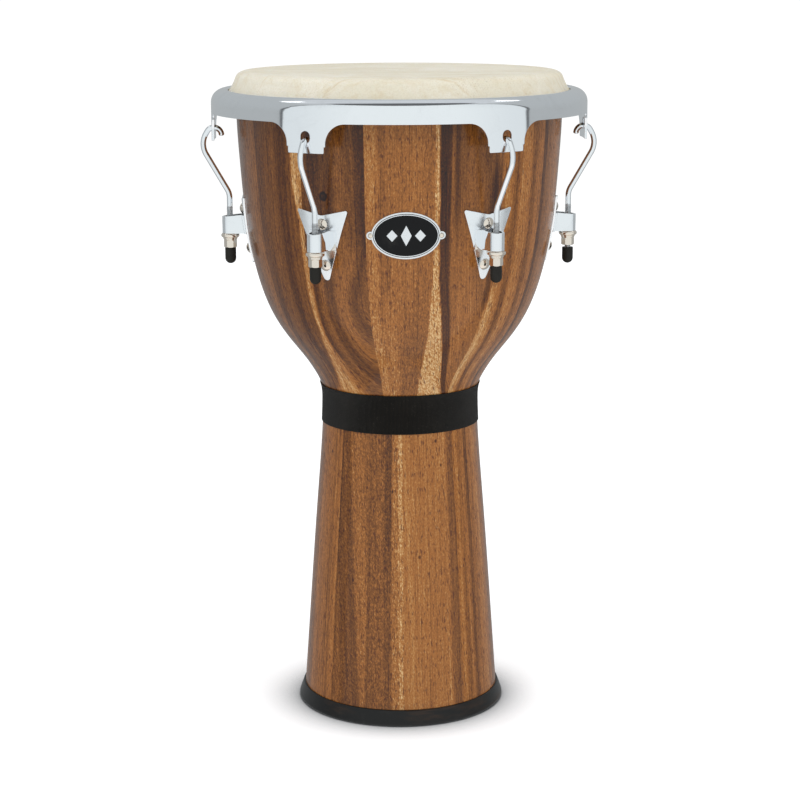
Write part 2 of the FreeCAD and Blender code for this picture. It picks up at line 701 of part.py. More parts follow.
def badge_pins():
    sphere_radius = (PIN_HEAD_RADIUS ** 2 + PIN_HEAD_HEIGHT ** 2) / (2.0 * PIN_HEAD_HEIGHT)
    ball = Part.makeSphere(sphere_radius, Vector(PIN_HEAD_HEIGHT - sphere_radius, 0, 0))
    head = ball.common(Part.makeBox(20, 40, 40, Vector(0, -20, -20)))
    shank = Part.makeCylinder(PIN_RADIUS, PIN_LENGTH, Vector(-PIN_LENGTH, 0, 0), Vector(1, 0, 0))
    stand_off = SHEET_GAP + BADGE_SHEET + BADGE_RELIEF + 0.05
    pin = on_shell(head.fuse(shank).removeSplitter(), BADGE_HEIGHT, stand_off)
    return group([turned(pin, angle) for angle in pin_axes()])


def pin_holes():
    hole = Part.makeCylinder(PIN_RADIUS + 0.05, PIN_LENGTH + 0.5, Vector(-PIN_LENGTH - 0.5, 0, 0),
                             Vector(1, 0, 0))
    placed = on_shell(hole, BADGE_HEIGHT, SHEET_GAP + BADGE_SHEET + BADGE_RELIEF)
    return [turned(placed, angle - 90.0) for angle in pin_axes()]


# --- Build ------------------------------------------------------------------------------------------
os.makedirs("parts", exist_ok=True)
lug_angles = [FIRST_LUG_DEG + i * 360.0 / LUGS for i in range(LUGS)]

save("bowl_staves", staves(bowl_section(), BOWL_STAVE_START_DEG, bolt_cutters() + pin_holes()))
save("foot_staves", staves(foot_section(), FOOT_STAVE_START_DEG, []))
save("waist_band", waist_band())
save("foot_ring", foot_ring())
save("drumhead", drumhead())
save("flesh_hoop", Part.makeTorus(HOOP_RING_RADIUS, HOOP_BAR_RADIUS, flat(0, HOOP_HEIGHT)))
save("rim", rim())

lug_pieces = {
    "side_plate": side_plate(),
    "rod_bracket": rod_bracket(),
    "tension_rod": tension_rod(),
    "tuning_nut": tuning_nut(),
    "dome_washer": dome_washer(),
    "rod_cap": rod_cap(0.0),
}
for name, piece in lug_pieces.items():
    for i, angle in enumerate(lug_angles):
        own = piece
        if name == "rod_cap" and i + 1 == LOOSE_CAP_LUG:
            own = rod_cap(LOOSE_CAP_DROP)
        save(f"{name}_{i + 1}", turned(own, angle))

save("flat_washers", all_lugs([flat_washer()]))
head_seat = SHEET_GAP * 2 + PLATE_SHEET
save("plate_bolts", all_lugs([on_shell(plate_bolt(), h, head_seat) for h in BOLT_HEIGHTS]))
save("plate_bolt_washers", all_lugs([on_shell(bolt_washer(), h, 0.0) for h in BOLT_HEIGHTS]))
save("plate_bolt_nuts", all_lugs([on_shell(bolt_nut(), h, 0.0) for h in BOLT_HEIGHTS]))

badge_plate, badge_enamel = badge_pieces()
save("badge_plate", turned(badge_plate, -90.0))
save("badge_enamel", turned(badge_enamel, -90.0))
save("badge_pins", turned(badge_pins(), -90.0))
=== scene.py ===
"""A rim-tuned djembe: stave-built wooden shell, rawhide head, chrome rim and hooked tuning rods.

Metres, in the row frame: +Z up, the badge facing -Y. An azimuth of 0 is +X and of -90 is the badge.
"""

import math

import bpy
import numpy as np
from mathutils import Matrix, Vector


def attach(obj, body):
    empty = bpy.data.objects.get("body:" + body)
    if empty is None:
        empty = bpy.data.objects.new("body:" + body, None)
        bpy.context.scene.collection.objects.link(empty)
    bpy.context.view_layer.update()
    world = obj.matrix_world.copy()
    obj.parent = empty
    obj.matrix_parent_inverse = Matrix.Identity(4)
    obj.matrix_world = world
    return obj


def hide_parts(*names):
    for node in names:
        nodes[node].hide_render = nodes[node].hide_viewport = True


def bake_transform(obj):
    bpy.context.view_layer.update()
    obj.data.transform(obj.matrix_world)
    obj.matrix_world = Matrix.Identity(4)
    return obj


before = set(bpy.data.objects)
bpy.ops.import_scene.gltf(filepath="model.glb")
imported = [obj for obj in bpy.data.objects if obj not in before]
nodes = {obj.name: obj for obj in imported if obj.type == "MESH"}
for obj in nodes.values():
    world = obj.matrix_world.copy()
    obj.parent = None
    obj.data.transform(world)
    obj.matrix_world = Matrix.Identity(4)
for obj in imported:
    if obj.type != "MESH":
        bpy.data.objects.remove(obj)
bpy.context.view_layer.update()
MM = 0.001
TAU = 2.0 * math.pi

# --- Driving sizes, in millimetres unless named otherwise -------------------------------------------
STAVES = 15
STAVE_DEG = 360.0 / STAVES
BOWL_STAVE_START = -80.2
FOOT_STAVE_START = -90.0
WALL = 11.5
JOINT_HEIGHT = 302.0
SPIGOT_RADIUS = 72.0
SPIGOT_TOP = 322.0
SHELL_BOTTOM = 4.0
SHELL_OUTLINE = [
    (98.4, 4.0), (91.5, 101.0), (84.0, 202.0), (77.9, 283.0), (76.9, 310.0), (78.3, 326.0),
    (83.8, 338.2), (93.6, 353.3), (109.4, 373.5), (123.0, 393.7), (132.5, 413.9), (141.9, 444.2),
    (149.7, 484.6), (155.6, 545.2), (158.1, 585.5), (158.3, 640.0),
]
EDGE_START = 619.0              # where the bowl starts to follow the skin's underside
EDGE_RADIUS = 158.4
BEVEL = [(149.0, 633.2), (145.5, 630.4), (142.6, 626.5)]
BEVEL_END = 622.0
BAND_RIBS = 380
HEAD_HEIGHT = 635.0
SKIN = 1.5
SKIN_GAP = 0.1                  # between the skin and the bearing edge
HEAD_OUTLINE = [
    (147.0, HEAD_HEIGHT), (153.5, 633.95), (157.2, 631.5), (159.9, 625.8), (162.3, 620.9), (165.4, 615.4),
]
HOOP_RING_RADIUS = 170.4
HOOP_HEIGHT = 609.7
LAP_RADIUS = 5.6
LUG_AXIS = 166.5
LUGS = [-120.0 + 60.0 * i for i in range(6)]

# How finely the meshes are cut
COLUMNS_PER_STAVE = 40
BOWL_OUTER_ROWS = 112
BOWL_INNER_ROWS = 34
FOOT_OUTER_ROWS = 116
FOOT_INNER_ROWS = 40
HEAD_ROWS = 60
HEAD_COLUMNS = 240
LAP_ROWS = 34

# --- Camera -----------------------------------------------------------------------------------------
LENS = 94.29
CAMERA_DISTANCE = 2.0566
CAMERA_HEIGHT = 0.7371
CAMERA_PITCH_DEG = 11.802
CAMERA_SIDE_DEG = 2.3
CAMERA_ROLL_DEG = -0.15


def add_camera():
    side = math.radians(CAMERA_SIDE_DEG)
    data = bpy.data.cameras.new("camera")
    data.lens = LENS
    data.sensor_width = 36.0
    camera = bpy.data.objects.new("camera", data)
    place = Matrix.Translation((
        -CAMERA_DISTANCE * math.sin(side), -CAMERA_DISTANCE * math.cos(side), CAMERA_HEIGHT))
    heading = Matrix.Rotation(-side, 4, "Z")
    pitch = Matrix.Rotation(math.radians(90.0 - CAMERA_PITCH_DEG), 4, "X")
    roll = Matrix.Rotation(math.radians(CAMERA_ROLL_DEG), 4, "Z")
    camera.matrix_world = place @ heading @ pitch @ roll
    bpy.context.scene.collection.objects.link(camera)
    bpy.context.scene.camera = camera


# --- Studio: what gloss reflects, in degrees, then the lamps and the floor, in metres ---------------
WALL_AZIMUTH_DEG = -88.2        # middle of the bright wall in front
WALL_HALF_DEG = 77.9
WALL_TOP_DEG = 62.0
SOFTBOX_TURN_DEG = 117.0        # a softbox behind on each side, from the wall's middle
SOFTBOX_RISE_DEG = 54.0
LAMP_SIZE = 1.2
LAMP_TARGET = (0.0, 0.0, 0.35)
FLOOR_RADIUS = 4.0
SHADOW_REACH = 0.09             # how far away a piece can be and still darken the floor


# --- Shader graphs ----------------------------------------------------------------------------------
def linear(*rgb):
    """A colour given as 0 to 255 display values, as linear RGBA."""
    values = [v / 255.0 for v in rgb]
    return tuple(v / 12.92 if v <= 0.04045 else ((v + 0.055) / 1.055) ** 2.4 for v in values) + (1.0,)


def seen(*rgb, veil=0.024, gain=1.08):
    """The base colour that looks like a display colour in this studio, under a gloss that adds a veil."""
    return tuple(max((v - veil) / gain, 0.002) for v in linear(*rgb)[:3]) + (1.0,)


class Graph:
    """A small shorthand for node trees. Sockets, numbers and tuples can all be given as inputs."""

    def __init__(self, tree):
        self.tree = tree
        tree.nodes.clear()

    def node(self, kind, out=0, props=None, **inputs):
        node = self.tree.nodes.new(kind)
        for key, value in (props or {}).items():
            setattr(node, key, value)
        for key, value in inputs.items():
            self.feed(node, key, value)
        return node.outputs[out]

    def feed(self, node, key, value):
        """Fill the input that key names, with _ for a space, or numbers, as in i0 for the first."""
        if key[0] == "i" and key[1:].isdigit():
            socket = node.inputs[int(key[1:])]
        else:
            name = key.replace("_", " ").lower()
            socket = next(s for s in node.inputs if s.name.lower() == name and s.enabled)
        if isinstance(value, bpy.types.NodeSocket):
            self.tree.links.new(value, socket)
        else:
            socket.default_value = value

    def math(self, operation, a, b=0.0, c=0.0):
        return self.node("ShaderNodeMath", props={"operation": operation}, i0=a, i1=b, i2=c)

    def scaled(self, vector, x, y, z):
        props = {"operation": "MULTIPLY"}
        return self.node("ShaderNodeVectorMath", props=props, i0=vector, i1=(x, y, z))

    def noise(self, vector, scale=1.0, detail=2.0, roughness=0.5, distortion=0.0):
        return self.node("ShaderNodeTexNoise", Vector=vector, Scale=scale, Detail=detail,
                         Roughness=roughness, Distortion=distortion)

    def centred(self, value, amount):
        """A 0 to 1 value as plus or minus amount."""
        return self.math("MULTIPLY_ADD", value, 2.0 * amount, -amount)

    def step(self, value, low, high, a=0.0, b=1.0):
        """a below low, b above high, smooth between."""
        props = {"interpolation_type": "SMOOTHSTEP"}
        return self.node("ShaderNodeMapRange", props=props, Value=value, From_Min=low, From_Max=high,
                         To_Min=a, To_Max=b)

    def mix(self, share, a, b):
        """Colour a at a share of 0, colour b at a share of 1."""
        node = self.tree.nodes.new("ShaderNodeMix")
        node.data_type = "RGBA"
        for index, value in ((0, share), (6, a), (7, b)):
            if isinstance(value, bpy.types.NodeSocket):
                self.tree.links.new(value, node.inputs[index])
            else:
                node.inputs[index].default_value = value
        return node.outputs[2]

    def ramp(self, value, stops):
        node = self.tree.nodes.new("ShaderNodeValToRGB")
        elements = node.color_ramp.elements
        while len(elements) < len(stops):
            elements.new(0.5)
        for element, (place, colour) in zip(elements, stops):
            element.position = place
            element.color = colour
        self.tree.links.new(value, node.inputs[0])
        return node.outputs[0]

    def bump(self, height, distance, normal=None):
        node = self.tree.nodes.new("ShaderNodeBump")
        node.inputs["Strength"].default_value = 1.0
        node.inputs["Distance"].default_value = distance
        self.tree.links.new(height, node.inputs["Height"])
        if normal is not None:
            self.tree.links.new(normal, node.inputs["Normal"])
        return node.outputs[0]

    def attribute(self, name, out):
        node = self.tree.nodes.new("ShaderNodeAttribute")
        node.attribute_name = name
        return node.outputs[out]

    def split(self, vector):
        node = self.tree.nodes.new("ShaderNodeSeparateXYZ")
        self.tree.links.new(vector, node.inputs[0])
        return node.outputs

    def object_point(self):
        return self.node("ShaderNodeTexCoord", out=3)

    def principled(self, **inputs):
        shader = self.node("ShaderNodeBsdfPrincipled", **inputs)
        output = self.tree.nodes.new("ShaderNodeOutputMaterial")
        self.tree.links.new(shader, output.inputs["Surface"])


def new_graph(name):
    material = bpy.data.materials.new(name)
    material.use_nodes = True
    return material, Graph(material.node_tree)


# --- Meshes -----------------------------------------------------------------------------------------
def smooth_curve(points, count):
    """Points evenly spread along a natural cubic spline through the given points, by chord length."""
    points = np.array(points, float)
    steps = np.linalg.norm(np.diff(points, axis=0), axis=1)
    t = np.concatenate([[0.0], np.cumsum(steps)])
    n = len(t)
    matrix = np.zeros((n, n))
    matrix[0, 0] = matrix[-1, -1] = 1.0
    right = np.zeros_like(points)
    for i in range(1, n - 1):
        before, after = t[i] - t[i - 1], t[i + 1] - t[i]
        matrix[i, i - 1:i + 2] = before, 2.0 * (before + after), after
        right[i] = 6.0 * ((points[i + 1] - points[i]) / after - (points[i] - points[i - 1]) / before)
    bend = np.linalg.solve(matrix, right)
    places = np.linspace(0.0, t[-1], count)
    index = np.clip(np.searchsorted(t, places) - 1, 0, n - 2)
    h = (t[index + 1] - t[index])[:, None]
    a = (t[index + 1] - places)[:, None] / h
    b = 1.0 - a
    curve = a * points[index] + b * points[index + 1]
    return curve + ((a ** 3 - a) * bend[index] + (b ** 3 - b) * bend[index + 1]) * h ** 2 / 6.0


def offset_curve(curve, distance):
    """A profile moved sideways; outwards from a profile that runs upwards is positive."""
    along = np.gradient(curve, axis=0)
    along /= np.linalg.norm(along, axis=1)[:, None]
    return curve + np.stack([along[:, 1], -along[:, 0]], axis=1) * distance


def arc(centre, radius, start, end, count):
    angles = np.radians(np.linspace(start, end, count))
    return np.stack([centre[0] + radius * np.cos(angles), centre[1] + radius * np.sin(angles)], axis=1)


def add_mesh(name, points, faces):
    mesh = bpy.data.meshes.new(name)
    mesh.from_pydata([tuple(p) for p in points], [], faces)
    mesh.validate()
    mesh.shade_smooth()
    piece = bpy.data.objects.new(name, mesh)
    bpy.context.scene.collection.objects.link(piece)
    return piece


def grid_faces(rows, columns, close_rows):
    """Quads of a grid whose columns go all the way round. Point i, j has the number i * columns + j."""
    i = np.arange(rows if close_rows else rows - 1)
    i, j = [x.ravel() for x in np.meshgrid(i, np.arange(columns), indexing="ij")]
    i2, j2 = (i + 1) % rows, (j + 1) % columns
    return np.stack([i * columns + j, i * columns + j2, i2 * columns + j2, i2 * columns + j], axis=1)


def revolve(name, section, columns, start=0.0):
    """A closed profile in millimetres turned about Z, with the quads: rows follow the profile."""
    angles = np.radians(start + np.arange(columns) * 360.0 / columns)
    r, z = section[:, 0][:, None], section[:, 1][:, None]
    points = np.stack([r * np.cos(angles), r * np.sin(angles), z + 0.0 * angles], axis=2) * MM
    faces = grid_faces(len(section), columns, True)[:, ::-1]
    return add_mesh(name, points.reshape(-1, 3), faces.tolist()), faces


def paint(piece, material):
    piece.data.materials.clear()
    piece.data.materials.append(material)
    return piece


def repaint(node, material):
    """Give a CAD node that is shown as it is another material."""
    for slot in nodes[node].material_slots:
        slot.link = "OBJECT"
        slot.material = material


# --- Wood: where the grain runs and how dark it is, worked out for each stave -----------------------
shell_curve = smooth_curve(SHELL_OUTLINE, 400)


def fade(value, low, high):
    t = np.clip((value - low) / (high - low), 0.0, 1.0)
    return t * t * (3.0 - 2.0 * t)


def band(x, centre, half, soft):
    """1 within half of centre, fading to 0 over soft on each side."""
    return 1.0 - fade(np.abs(x - centre), half, half + soft)


def plain_stave(base, figure=0.05, bands=(), lean=0.0):
    """A straight-grained stave. Bands are (u at the top, u at the bottom, half width, soft, tone)."""
    def look(u, s, x, z):
        tone = np.full_like(u, base)
        for top, bottom, half, soft, change in bands:
            tone = tone + change * band(u, top + (bottom - top) * s, half, soft)
        return tone, np.full_like(u, figure), x + lean * s, z
    return look


def wander(z, x, seed, size):
    """A slow sideways wobble of a streak along its length."""
    wave = np.sin(z / 23.0 + seed) + 0.6 * np.sin(z / 9.0 + 2.3 * seed) + 0.3 * np.sin(z / 4.1 + x / 9.0)
    return size * wave


def sapwood_stave(u, s, x, z):
    """Right of the badge: a pale strip that widens downwards, with dark heartwood lines beside it."""
    rough_u = u + wander(z, x, 1.0, 0.006)
    edge = 0.055 + 1.05 * s ** 5
    dark_at = edge + 0.09
    upper = 1.0 - fade(s, 0.3, 0.5)
    tone = 0.595 - 0.10 * upper + 0.05 * band(u, 0.62, 0.1, 0.1) - 0.10 * band(u, 0.86, 0.05, 0.1) * upper
    tone = tone - 0.36 * band(rough_u, dark_at, 0.055 + 0.05 * (1.0 - s) ** 4, 0.045)
    tone = tone + 0.15 * band(rough_u, dark_at + 0.10, 0.008, 0.015) * upper
    tone = tone - 0.19 * band(rough_u, dark_at + 0.18, 0.02, 0.04) * upper
    tone = tone + 0.08 * band(u + 0.9 * (s - 0.25), 0.85, 0.04, 0.06) * upper
    tone = tone - 0.30 * band(u, 1.0, 0.03, 0.05) * band(s, 0.58, 0.03, 0.06)
    tone = tone - 0.28 * band(u, 1.0, 0.07, 0.06) * band(s, 0.34, 0.05, 0.09)
    sap = 1.0 - fade(rough_u, edge, edge + 0.03)
    tone = tone * (1.0 - sap) + (0.86 - 0.10 * band(u, 0.0, 0.01, 0.02)) * sap
    return tone, 0.06 + 0.16 * sap, x - 58.0 * s ** 4, z


def cathedral_stave(u, s, x, z):
    """Left of the badge: growth rings that sweep round towards it, and a pale strip low on the left."""
    across = 31.0 - x + wander(z, x, 4.0, 0.5)
    below = np.clip(425.0 - z, 0.0, None) / 2.0
    flow = np.hypot(across, below)
    ring = flow + np.clip(z - 430.0, 0.0, 45.0) / 3.2 * band(across, 0.0, 12.0, 20.0)
    tone = 0.50 + 0.03 * np.sin(ring * 1.1)
    tone = tone - 0.14 * band(ring, 15.5, 2.5, 3.5) + 0.08 * band(ring, 28.0, 3.0, 4.0)
    lower = fade(s, 0.40, 0.52)
    tone = tone - lower * (0.15 * band(ring, 40.5, 2.5, 4.0) + 0.16 * band(ring, 55.5, 2.0, 3.5))
    upper = 1.0 - lower
    tone = tone - 0.13 * upper - 0.12 * band(u + 0.05 * s, 0.23, 0.05, 0.09) * (1.0 - fade(s, 0.3, 0.45))
    tone = tone - 0.12 * band(u, 0.47, 0.02, 0.06) * band(z, 525.0, 15.0, 35.0)
    tone = tone + 0.06 * band(u, 0.61, 0.03, 0.06) * upper - 0.04 * band(u, 0.87, 0.08, 0.08) * upper
    edge = 0.02 + 0.45 * np.clip((s - 0.72) / 0.18, 0.0, 1.2) ** 2
    tone = tone + fade(s, 0.5, 0.62) * 0.29 * (1.0 - fade(u, edge, edge + 0.03 + 0.25 * (edge - 0.02)))
    arch = (z + (x - 5.0) ** 2 / 6.0) / 4.5 + wander(z, x, 6.0, 0.6)
    tone = tone + 0.035 * np.sin(arch) * upper * band(u, 0.55, 0.25, 0.15)
    return tone, np.full_like(u, 0.10), -flow, z


def badge_stave(u, s, x, z):
    """Behind the badge: even orange-brown, golden and mottled low down."""
    low = fade(s, 0.5, 0.8)
    tone = 0.645 + 0.06 * band(u, 0.08, 0.08, 0.05) - 0.07 * band(u, 0.24, 0.03, 0.05) * (1.0 - low)
    tone = tone + low * (0.05 * band(u, 0.25, 0.12, 0.2) - 0.09 * band(u, 0.75, 0.15, 0.2) - 0.02)
    return tone, 0.10 + 0.08 * low, x + 14.0 * s ** 3 * (u - 0.3), z


def dark_stave(u, s, x, z):
    """Left of the cathedral stave: dark brown with a golden strip on the right, narrow at mid-height."""
    edge = 0.81 + 0.085 * fade(s, 0.28, 0.42) - 0.45 * np.clip((s - 0.70) / 0.20, 0.0, 1.3) ** 2
    strip = fade(u + wander(z, x, 2.0, 0.006), edge, edge + 0.04 + 0.2 * fade(s, 0.75, 0.95))
    tone = 0.34 + 0.07 * band(u, 0.35, 0.1, 0.1) - 0.08 * band(u, 0.62, 0.05, 0.07)
    tone = tone + 0.08 * band(u, 0.80, 0.06, 0.06)
    tone = tone + (0.49 - 0.10 * s) * strip
    return tone, 0.05 + 0.05 * strip, x + 8.0 * s ** 3, z


def fan_stave(u, s, x, z):
    """Under the right front lug: orange-brown, streaks that fan out, dark wedges, a light sweep below."""
    lower = fade(s, 0.55, 0.72)
    tone = 0.635 + 0.07 * band(u - 0.3 * (0.35 - s), 0.20, 0.04, 0.06) - 0.12 * band(u, 0.36, 0.03, 0.06)
    tone = tone + 0.08 * band(u, 0.55, 0.06, 0.06) - 0.14 * band(u, 0.78, 0.03, 0.06)
    tone = tone - 0.26 * band(u, 0.0, 0.04, 0.06) * band(s, 0.34, 0.05, 0.10)
    tone = tone - 0.26 * band(u, 0.0, 0.02, 0.05) * band(s, 0.57, 0.04, 0.06)
    tone = tone + lower * (0.13 * (1.0 - fade(u, 0.20, 0.32)) - 0.08 * band(u, 0.36, 0.02, 0.05))
    return tone, np.full_like(u, 0.06), x - 20.0 * s ** 3 * (1.2 - u), z


def speckled_stave(u, s, x, z):
    """Foot, below the badge's left: grey-brown and speckled, dark, then a pale mottled edge."""
    rough_u = u + wander(z, x, 3.0, 0.010)
    tone = 0.525 - (0.15 - 0.09 * fade(s, 0.3, 0.6)) * band(rough_u, 0.56, 0.06, 0.06)
    tone = tone + 0.15 * fade(rough_u, 0.64, 0.71) + 0.14 * band(rough_u, 0.91, 0.035, 0.05)
    tone = tone - 0.10 * band(u, 0.05, 0.01, 0.03)
    return tone, 0.17 + 0.07 * band(u, 0.35, 0.2, 0.1) + 0.05 * band(u, 0.8, 0.1, 0.1), x, z


def shimmer_stave(u, s, x, z):
    """Foot, left front: golden brown with a slanting dark figure and fine mottle."""
    slant = u - 0.60 * s + 0.05
    tone = 0.53 + 0.09 * band(slant, 0.55, 0.15, 0.15) - 0.12 * band(slant, 0.24, 0.05, 0.10)
    tone = tone - 0.10 * band(slant, -0.05, 0.08, 0.12) - 0.12 * band(u, 0.03, 0.01, 0.04)
    return tone, np.full_like(u, 0.20), x + 0.10 * (z - 150.0), z


BOWL_LOOKS = [
    sapwood_stave,
    fan_stave,
    plain_stave(0.55, 0.05, [(0.06, 0.06, 0.03, 0.05, -0.25), (0.5, 0.5, 0.1, 0.2, 0.06)], 4.0),
    plain_stave(0.50, 0.05, [(0.4, 0.5, 0.06, 0.1, -0.12)]),
    plain_stave(0.62, 0.06, [(0.85, 0.9, 0.05, 0.08, -0.2), (0.3, 0.2, 0.1, 0.1, 0.08)]),
    plain_stave(0.44, 0.05, [(0.1, 0.1, 0.08, 0.03, 0.38), (0.3, 0.3, 0.05, 0.1, -0.12)]),
    plain_stave(0.66, 0.08, [(0.6, 0.7, 0.03, 0.06, -0.16)], 6.0),
    plain_stave(0.55, 0.06, [(0.25, 0.25, 0.04, 0.06, -0.2), (0.75, 0.7, 0.12, 0.1, 0.1)], -5.0),
    plain_stave(0.40, 0.05, [(0.9, 0.95, 0.07, 0.04, 0.4), (0.65, 0.6, 0.05, 0.08, -0.1)]),
    plain_stave(0.60, 0.07, [(0.4, 0.45, 0.04, 0.1, -0.15)]),
    plain_stave(0.50, 0.05, [(0.7, 0.7, 0.1, 0.1, 0.07)]),
    plain_stave(0.43, 0.05, [(0.85, 0.9, 0.06, 0.06, 0.07), (0.35, 0.4, 0.1, 0.1, -0.06)]),
    dark_stave,
    cathedral_stave,
    badge_stave,
]
FOOT_LOOKS = [
    plain_stave(0.69, 0.04, [(0.69, 0.69, 0.004, 0.012, -0.2), (0.35, 0.35, 0.1, 0.2, 0.03)]),
    plain_stave(0.65, 0.06, [(0.46, 0.44, 0.08, 0.08, -0.13), (0.12, 0.12, 0.12, 0.1, 0.04),
                             (0.70, 0.70, 0.03, 0.06, 0.05), (0.86, 0.84, 0.05, 0.08, -0.09)]),
    plain_stave(0.62, 0.06, [(0.15, 0.15, 0.05, 0.05, -0.18), (0.6, 0.6, 0.1, 0.1, 0.08)]),
    plain_stave(0.52, 0.05, [(0.5, 0.5, 0.06, 0.1, -0.1)]),
    plain_stave(0.66, 0.06, [(0.8, 0.8, 0.05, 0.05, -0.2)]),
    plain_stave(0.48, 0.08, [(0.12, 0.1, 0.08, 0.04, 0.36)]),
    plain_stave(0.60, 0.05, [(0.4, 0.5, 0.04, 0.08, -0.14)]),
    plain_stave(0.55, 0.10),
    plain_stave(0.68, 0.05, [(0.3, 0.3, 0.01, 0.02, -0.18)]),
    plain_stave(0.45, 0.06, [(0.88, 0.9, 0.06, 0.05, 0.3)]),
    plain_stave(0.58, 0.06, [(0.5, 0.5, 0.15, 0.1, 0.06)]),
    plain_stave(0.53, 0.05, [(0.7, 0.7, 0.04, 0.06, -0.1)]),
    plain_stave(0.60, 0.04, [(0.72, 0.74, 0.02, 0.03, -0.12), (0.96, 0.96, 0.02, 0.02, 0.04)]),
    shimmer_stave,
    speckled_stave,
]
WOOD_TONES = [
    (0.00, seen(52, 36, 30)),
    (0.22, seen(82, 56, 43)),
    (0.42, seen(112, 74, 47)),
    (0.56, seen(136, 90, 54)),
    (0.68, seen(158, 103, 58)),
    (0.78, seen(174, 123, 72)),
    (0.88, seen(194, 151, 101)),
    (1.00, seen(220, 186, 136)),
]
# Knots on the shell: azimuth in degrees, height, radius
BIG_KNOT = (-119.3, 527.0, 4.0)
PIN_KNOTS = [
    (-66.3, 281.0, 1.4), (-62.5, 257.0, 1.2), (-97.6, 233.0, 1.1), (-79.8, 168.0, 1.5),
    (-150.0, 265.0, 1.3), (-158.0, 172.0, 1.1), (-124.0, 142.0, 1.2),
]


def wooden_shell(name, section, outer_rows, start, looks, seed):
    """The shell from a closed profile, with the grain and tone of every stave on its face corners."""
    columns = STAVES * COLUMNS_PER_STAVE
    piece, faces = revolve(name, section, columns, start)

    corner = faces.ravel()
    row, column = corner // columns, corner % columns
    lowest = np.repeat((faces % columns).min(axis=1), 4)
    wraps = np.repeat((faces % columns).max(axis=1) - (faces % columns).min(axis=1) > 1, 4)
    stave = np.where(wraps, STAVES - 1, lowest // COLUMNS_PER_STAVE)
    column = np.where(wraps & (column == 0), columns, column)
    u = column / COLUMNS_PER_STAVE - stave
    radius, height = section[row, 0], section[row, 1]
    low, high = section[:, 1].min(), section[:outer_rows, 1].max()
    s = np.clip((high - height) / (high - low), 0.0, 1.0)
    x = (u - 0.5) * math.radians(STAVE_DEG) * radius
    tone, figure, across, along = np.zeros((4, len(corner)))
    for i, look in enumerate(looks):
        at = stave == i
        tone[at], figure[at], across[at], along[at] = look(u[at], s[at], x[at], height[at])
    inside = row >= outer_rows
    tone = np.where(inside, 0.62 + 0.05 * ((stave * 7) % 5 - 2.0), tone)
    # The third coordinate gives every stave its own part of the noise
    grain = np.stack([across * MM, along * MM, stave * 3.7 + seed], axis=1)
    look = np.stack([tone, figure, np.where(inside, 1.0, 0.0)], axis=1)
    for attribute, values in (("grain", grain), ("look", look)):
        layer = piece.data.attributes.new(attribute, "FLOAT_VECTOR", "CORNER")
        layer.data.foreach_set("vector", values.astype(np.float32).ravel())
    return piece


def knot_distance(g, azimuth, height, flatten):
    """The distance from a place on the shell's outside; flatten is below 1 for a knot that is taller."""
    a = math.radians(azimuth)
    out = float(np.interp(height, shell_curve[:, 1], shell_curve[:, 0]))
    place = (out * math.cos(a) * MM, out * math.sin(a) * MM, height * MM)
    offset = g.node("ShaderNodeVectorMath", props={"operation": "SUBTRACT"}, i0=g.object_point(), i1=place)
    return g.node("ShaderNodeVectorMath", out=1, props={"operation": "LENGTH"},
                  i0=g.scaled(offset, 1.0, 1.0, flatten))


def knot_shade(g):
    """0 away from the knots, 1 at their middles. The one big knot has a darker rim."""
    azimuth, height, radius = BIG_KNOT
    away = knot_distance(g, azimuth, height, 0.9)
    rim = g.math("ABSOLUTE", g.math("SUBTRACT", away, 0.8 * radius * MM))
    shade = g.math("MULTIPLY", g.step(away, 0.7 * radius * MM, 1.2 * radius * MM, 1.0, 0.0), 0.65)
    shade = g.math("ADD", shade, g.step(rim, 0.0, 0.4 * radius * MM, 0.45, 0.0))
    for azimuth, height, radius in PIN_KNOTS:
        away = knot_distance(g, azimuth, height, 0.65)
        spot = g.step(away, 0.3 * radius * MM, 1.15 * radius * MM, 1.0, 0.0)
        shade = g.math("MAXIMUM", shade, spot)
    return shade


